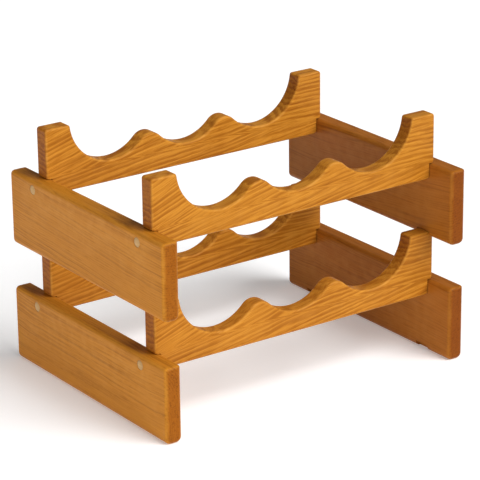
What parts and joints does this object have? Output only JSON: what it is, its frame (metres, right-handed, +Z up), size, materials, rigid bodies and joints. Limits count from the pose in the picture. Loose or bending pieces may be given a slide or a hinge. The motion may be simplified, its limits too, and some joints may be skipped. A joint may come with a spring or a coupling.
{
  "type": "stackable wine rack",
  "caption": "Stackable oak tabletop wine rack: scalloped rails cradle lying bottles between low side boards, and the upper tier lifts off the lower one.",
  "frame": {"origin": "centre of the lower tier's footprint, on the surface that the rack stands on", "axes": "+X to the right along the rails, +Y to the rear along the side boards, +Z up"},
  "size_m": [0.365, 0.277, 0.256],
  "materials": {
    "side_oak": "satin golden-oak lacquer, long grain along the board",
    "rail_oak": "satin golden-oak lacquer, long grain along the rail",
    "plug_wood": "paler face-grain plug under the same lacquer",
    "screw_steel": "zinc-plated steel"
  },
  "bodies": {
    "lower_tier": {"lower_left_side": "side_oak", "lower_right_side": "side_oak", "lower_front_rail": "rail_oak", "lower_rear_rail": "rail_oak", "lower_front_left_plug": "plug_wood", "lower_front_right_plug": "plug_wood", "lower_rear_left_plug": "plug_wood", "lower_rear_right_plug": "plug_wood", "lower_front_left_screw": "screw_steel", "lower_front_right_screw": "screw_steel", "lower_rear_left_screw": "screw_steel", "lower_rear_right_screw": "screw_steel"},
    "upper_tier": {"upper_left_side": "side_oak", "upper_right_side": "side_oak", "upper_front_rail": "rail_oak", "upper_rear_rail": "rail_oak", "upper_front_left_plug": "plug_wood", "upper_front_right_plug": "plug_wood", "upper_rear_left_plug": "plug_wood", "upper_rear_right_plug": "plug_wood", "upper_front_left_screw": "screw_steel", "upper_front_right_screw": "screw_steel", "upper_rear_left_screw": "screw_steel", "upper_rear_right_screw": "screw_steel"}
  },
  "joints": [
    {"name": "upper_tier_lift", "type": "slide", "parent": "lower_tier", "child": "upper_tier", "axis": [0, 0, 1], "range_m": [0, 0.12]}
  ]
}
